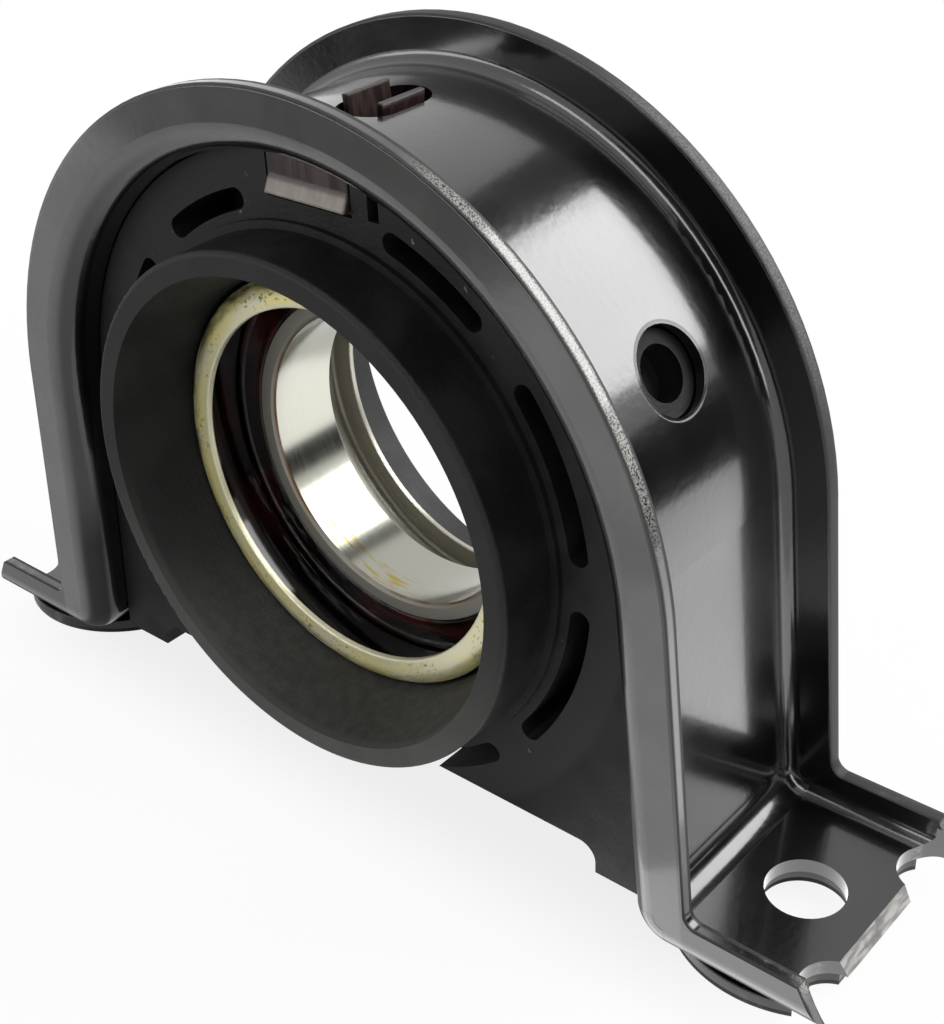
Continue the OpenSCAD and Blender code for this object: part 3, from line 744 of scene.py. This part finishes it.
def camera(stage):
    """Camera at the photograph's angle, aimed at the middle of the front edge of the bracket."""
    level = math.cos(stage.elevation)
    back = Vector((
        math.sin(stage.azimuth) * level, -math.cos(stage.azimuth) * level, math.sin(stage.elevation)))
    right = Matrix.Rotation(stage.roll, 3, back) @ Vector((0, 0, 1)).cross(back).normalized()
    up = back.cross(right)
    aim = Vector((0, BRACKET_LOW.y, 0))
    place = Matrix((right, up, back)).transposed().to_4x4()
    place.translation = aim + back * stage.distance + right * stage.slide
    view = bpy.data.cameras.new("Photo view")
    view.sensor_width = 36
    view.lens = stage.lens
    view.clip_start = 10 * MM
    holder = bpy.data.objects.new("Photo view", view)
    bpy.context.scene.collection.objects.link(holder)
    holder.matrix_world = place
    bpy.context.scene.camera = holder


class BEARING_OT_stage(bpy.types.Operator):
    """Set up floor, lamps, surroundings and camera"""

    bl_idname = "bearing.stage"
    bl_label = "Studio stage"

    def execute(self, context):
        stage = context.scene.bearing_stage
        context.scene.view_settings.view_transform = "Standard"
        white_surroundings(stage)
        floor(stage)
        upright = (0, 0, 1)
        slanted = (-0.7, 0, 0.7)
        aslant = math.radians(19)
        soft_lamp("key lamp", direction=(0.42, 0.74, 0.52), distance=0.9, upward=slanted,
                  width=1.1, height=0.64, power=stage.key)
        soft_lamp("front lamp", direction=(-0.35, -0.93, 0.14), distance=1.0, upward=upright,
                  width=1.2, height=0.25, power=stage.fill)
        light_hoop("hoop light", radius=0.8, near=-0.50, far=-0.28,
                   start=math.radians(5), sweep=math.radians(105), level=stage.hoop)
        floor_board("bright board right", centre=(0.20, 0.13), turn=math.radians(45),
                    width=0.44, depth=0.20, level=2.0)
        card("dark card right", direction=(0.85, -0.15, 0.5), distance=1.3, upward=upright,
             width=1.4, height=1.4, level=0.03)
        card("dark card behind the camera", direction=(0.45, -0.75, 0.5), distance=1.3, upward=upright,
             width=1.3, height=1.0, level=0.05)
        card("dark card at the horizon", direction=(0.76, 0.65, 0.02), distance=0.45, upward=upright,
             width=0.6, height=0.14, level=0.02)
        card("dark strip over the key lamp", direction=(0.01, 0.735, 0.675), distance=1.0, upward=slanted,
             width=1.4, height=0.26, level=0.12)
        floor_board("dim board front left", centre=(-0.207, -0.118), turn=aslant,
                    width=0.40, depth=0.21, level=0.62)
        floor_board("dark board front left", centre=(-0.340, -0.462), turn=aslant,
                    width=0.52, depth=0.36, level=0.05)
        camera(stage)
        return {"FINISHED"}


class BEARING_PT_panel(bpy.types.Panel):
    """Steps and settings of the centre bearing"""

    bl_idname = "BEARING_PT_panel"
    bl_label = "Centre bearing"
    bl_space_type = "VIEW_3D"
    bl_region_type = "UI"
    bl_category = "Bearing"

    def draw(self, context):
        for operator in OPERATORS:
            self.layout.operator(operator.bl_idname)
        for settings in (context.scene.bearing_finish, context.scene.bearing_stage):
            for name in settings.bl_rna.properties.keys():
                if name not in ("rna_type", "name"):
                    self.layout.prop(settings, name)


OPERATORS = (
    BEARING_OT_bracket,
    BEARING_OT_cushion,
    BEARING_OT_clip,
    BEARING_OT_shields,
    BEARING_OT_races,
    BEARING_OT_seals,
    BEARING_OT_stage,
)
CLASSES = (FinishSettings, StageSettings) + OPERATORS + (BEARING_PT_panel,)


def register():
    for kind in CLASSES:
        bpy.utils.register_class(kind)
    bpy.types.Scene.bearing_finish = PointerProperty(type=FinishSettings)
    bpy.types.Scene.bearing_stage = PointerProperty(type=StageSettings)


def unregister():
    del bpy.types.Scene.bearing_stage
    del bpy.types.Scene.bearing_finish
    for kind in reversed(CLASSES):
        bpy.utils.unregister_class(kind)


def main():
    register()
    bpy.ops.bearing.bracket()
    bpy.ops.bearing.cushion()
    bpy.ops.bearing.clip()
    bpy.ops.bearing.shields()
    bpy.ops.bearing.races()
    bpy.ops.bearing.seals()
    bpy.ops.bearing.stage()


if __name__ == "__main__":
    main()
